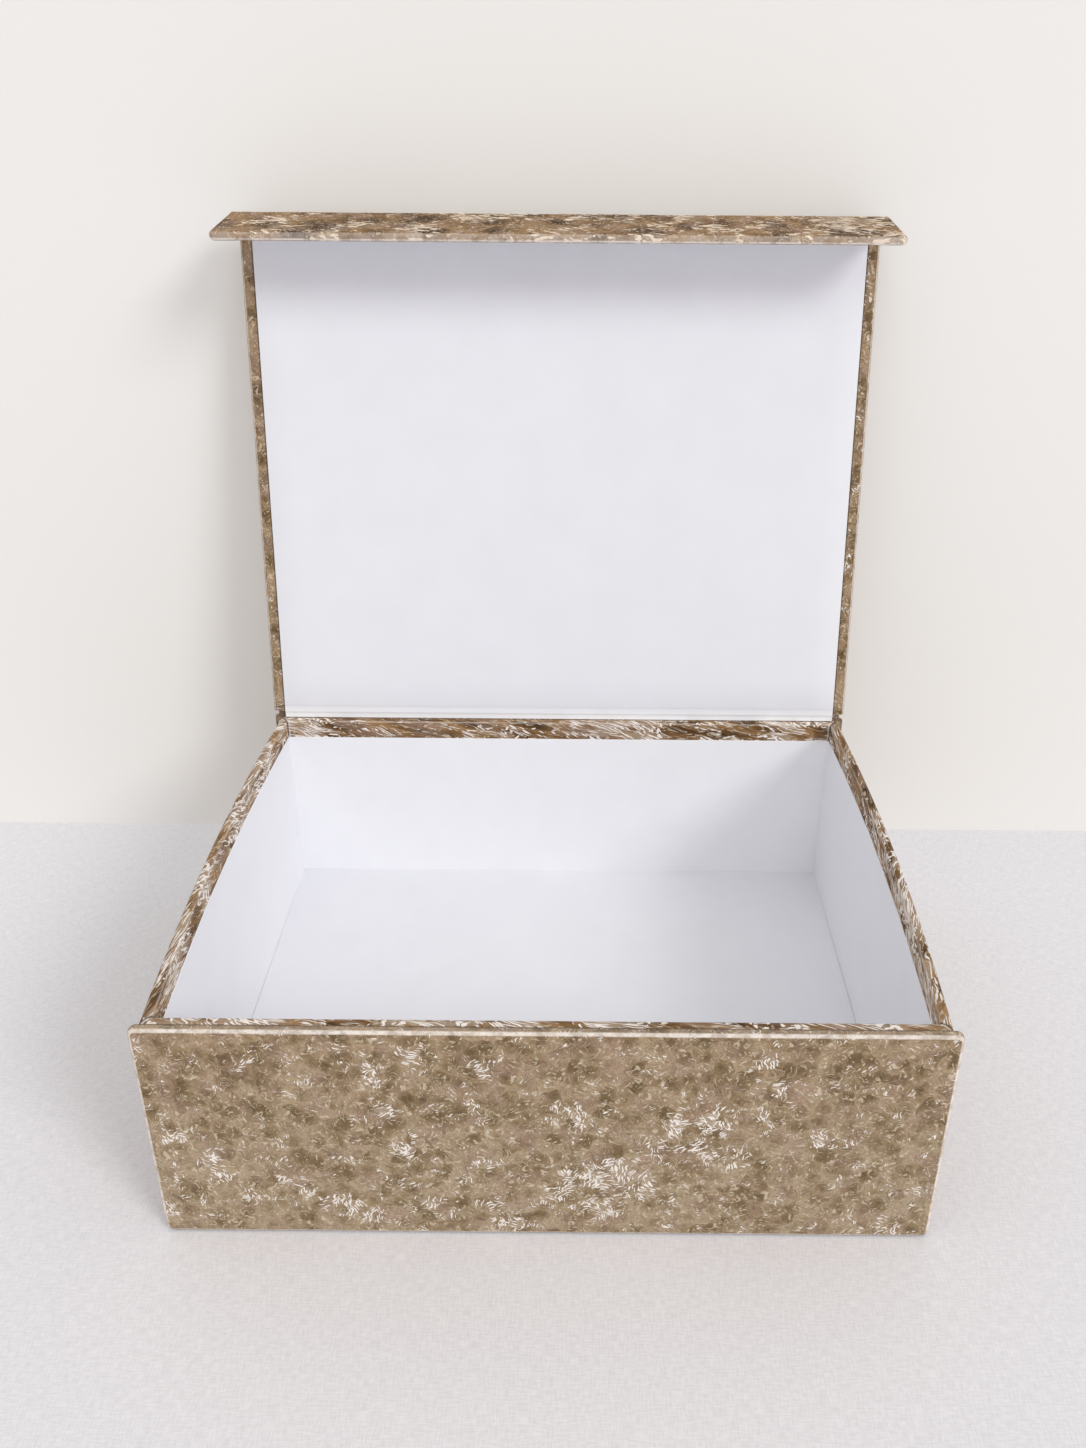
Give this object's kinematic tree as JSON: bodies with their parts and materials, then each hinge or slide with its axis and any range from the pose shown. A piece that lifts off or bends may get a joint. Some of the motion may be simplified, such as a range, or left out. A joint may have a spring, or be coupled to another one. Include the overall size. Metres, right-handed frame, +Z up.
{
  "type": "photo storage box",
  "caption": "Large book-style photo box: a velvet-covered tray in a wrap-round case, with a hinged lid and a front flap that hidden magnets hold shut.",
  "frame": {"origin": "middle of the underside of the base", "axes": "+X to the right seen from the front, +Y towards the hinged rear, +Z up"},
  "size_m": [0.306, 0.2797, 0.3488],
  "materials": {
    "velvet": "crushed velvet, mottled taupe with pale streaks",
    "greyboard": "matte uncoated board",
    "lining_card": "smooth white, faint sheen",
    "hinge_paper": "smooth white, creased at the fold",
    "steel_disc": "plain zinc-plated",
    "magnet": "nickel-plated"
  },
  "bodies": {
    "box": {"base_cover": "velvet", "base_board": "greyboard", "front_cover": "velvet", "front_board": "greyboard", "steel_discs": "steel_disc", "spine_cover": "velvet", "spine_board": "greyboard", "tray_floor_board": "greyboard", "tray_left_wall": "greyboard", "tray_right_wall": "greyboard", "tray_front_wall": "greyboard", "tray_back_wall": "greyboard", "tray_wrap": "velvet", "lining_left": "lining_card", "lining_right": "lining_card", "lining_front": "lining_card", "lining_back": "lining_card", "floor_card": "lining_card"},
    "lid": {"lid_cover": "velvet", "lid_board": "greyboard", "lid_lining": "lining_card", "lid_hinge_cloth": "velvet", "lid_hinge_strip": "hinge_paper"},
    "flap_fold": {"flap_hinge_cloth": "velvet", "flap_hinge_strip": "hinge_paper"},
    "flap": {"flap_cover": "velvet", "flap_board": "greyboard", "flap_magnets": "magnet", "flap_lining": "lining_card"}
  },
  "joints": [
    {"name": "lid_hinge", "type": "hinge", "parent": "box", "child": "lid", "pos_m": [0, 0.1198, 0.1067], "axis": [1, 0, 0], "range_deg": [0, 99], "deforming": ["lid_hinge_cloth", "lid_hinge_strip"]},
    {"name": "flap_droop", "type": "hinge", "parent": "lid", "child": "flap_fold", "pos_m": [0, 0.15872, 0.34474], "axis": [1, 0, 0], "range_deg": [-15, 0]},
    {"name": "flap_lift", "type": "hinge", "parent": "flap_fold", "child": "flap", "pos_m": [0, 0.15629, 0.34675], "axis": [1, 0, 0], "range_deg": [-90, 0], "deforming": ["flap_hinge_cloth", "flap_hinge_strip"]}
  ],
  "couplings": [
    {"joint": "flap_droop", "follows": "lid_hinge", "ratio": -0.15152}
  ]
}
